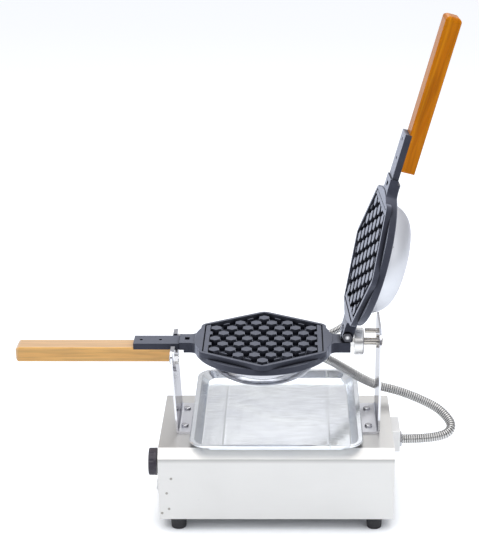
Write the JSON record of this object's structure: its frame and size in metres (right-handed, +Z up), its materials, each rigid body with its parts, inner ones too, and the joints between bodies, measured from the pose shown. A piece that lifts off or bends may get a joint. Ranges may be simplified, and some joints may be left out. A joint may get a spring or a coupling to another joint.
{
  "type": "commercial waffle maker",
  "caption": "Counter-top waffle maker: hinged hexagonal cast plates that flip on an axle above a drip tray and a heated-control cabinet.",
  "frame": {"origin": "on the floor under the middle of the machine's box, measured without the two hoses; the middle of the cabinet is at X 0.067 m, Y -0.0265 m", "axes": "+Z up; -X the control end and the handles, +X the hinge and supply end; -Y the side the picture is taken from and the drip tray slides out to"},
  "size_m": [0.6703, 0.285, 0.7556],
  "materials": {
    "cabinet_steel": "satin",
    "polished_steel": "polished",
    "pressed_steel": "satin",
    "zinc_steel": "bright",
    "turned_steel": "turned",
    "cast_plate": "fine",
    "beech": "oiled",
    "black_rubber": "matt",
    "knob_plastic": "matt",
    "white_plastic": "gloss",
    "green_lens": "gloss",
    "black_plastic": "matt",
    "heater_sheath": "oxidised",
    "fibre_pad": "fibrous",
    "hose_steel": "wound"
  },
  "bodies": {
    "base": {"cabinet_casing": "cabinet_steel", "control_panel": "cabinet_steel", "rear_panel": "cabinet_steel", "bottom_plate": "cabinet_steel", "panel_rivets": "zinc_steel", "rubber_feet": "black_rubber", "foot_screws": "zinc_steel", "thermostat": "black_plastic", "switch_housing": "white_plastic", "lamp_body": "white_plastic", "lamp_lens": "green_lens", "terminal_block": "black_plastic", "junction_box": "white_plastic", "conduit_gland": "zinc_steel", "mains_gland": "black_plastic", "bearing_bracket": "polished_steel", "cradle_bracket": "polished_steel", "cradle_liner": "polished_steel", "liner_bolts": "zinc_steel", "bracket_bolts": "zinc_steel", "shaft_bush": "turned_steel", "stop_pin": "turned_steel", "conduit": "hose_steel"},
    "knob": {"thermostat_knob": "knob_plastic", "thermostat_shaft": "turned_steel"},
    "rocker": {"switch_rocker": "white_plastic"},
    "tray": {"drip_tray": "pressed_steel"},
    "pan": {"lower_plate": "cast_plate", "lower_handle": "beech", "lower_handle_screws": "zinc_steel", "lower_dome": "polished_steel", "lower_dome_screws": "zinc_steel", "lower_heater": "heater_sheath", "lower_insulation": "fibre_pad", "conduit_fitting": "zinc_steel", "lower_link_fitting": "zinc_steel", "hub": "zinc_steel", "hub_screw": "zinc_steel", "pivot_axle": "turned_steel", "retaining_ring": "turned_steel", "link_hose": "hose_steel"},
    "lid": {"upper_plate": "cast_plate", "upper_handle": "beech", "upper_handle_screws": "zinc_steel", "upper_dome": "polished_steel", "upper_dome_screws": "zinc_steel", "upper_heater": "heater_sheath", "upper_insulation": "fibre_pad", "upper_link_fitting": "zinc_steel", "hinge_bolt": "zinc_steel"}
  },
  "joints": [
    {"name": "pan_flip", "type": "hinge", "parent": "base", "child": "pan", "pos_m": [0.06695, -0.0205, 0.2615], "axis": [1, 0, 0], "range_deg": [-90, 90], "deforming": ["conduit"]},
    {"name": "lid_hinge", "type": "hinge", "parent": "pan", "child": "lid", "pos_m": [0.17244, -0.0205, 0.2763], "axis": [0.0229, -0.9993, -0.03], "range_deg": [0, 105.2], "deforming": ["link_hose"]},
    {"name": "knob_turn", "type": "hinge", "parent": "base", "child": "knob", "pos_m": [-0.11155, -0.0985, 0.099], "axis": [1, 0, 0], "range_deg": [0, 270]},
    {"name": "rocker_tilt", "type": "hinge", "parent": "base", "child": "rocker", "pos_m": [-0.10675, -0.0985, 0.061], "axis": [0, 1, 0], "range_deg": [0, 14]},
    {"name": "tray_slide", "type": "slide", "parent": "base", "child": "tray", "axis": [0, -1, 0], "range_m": [0, 0.18]}
  ]
}
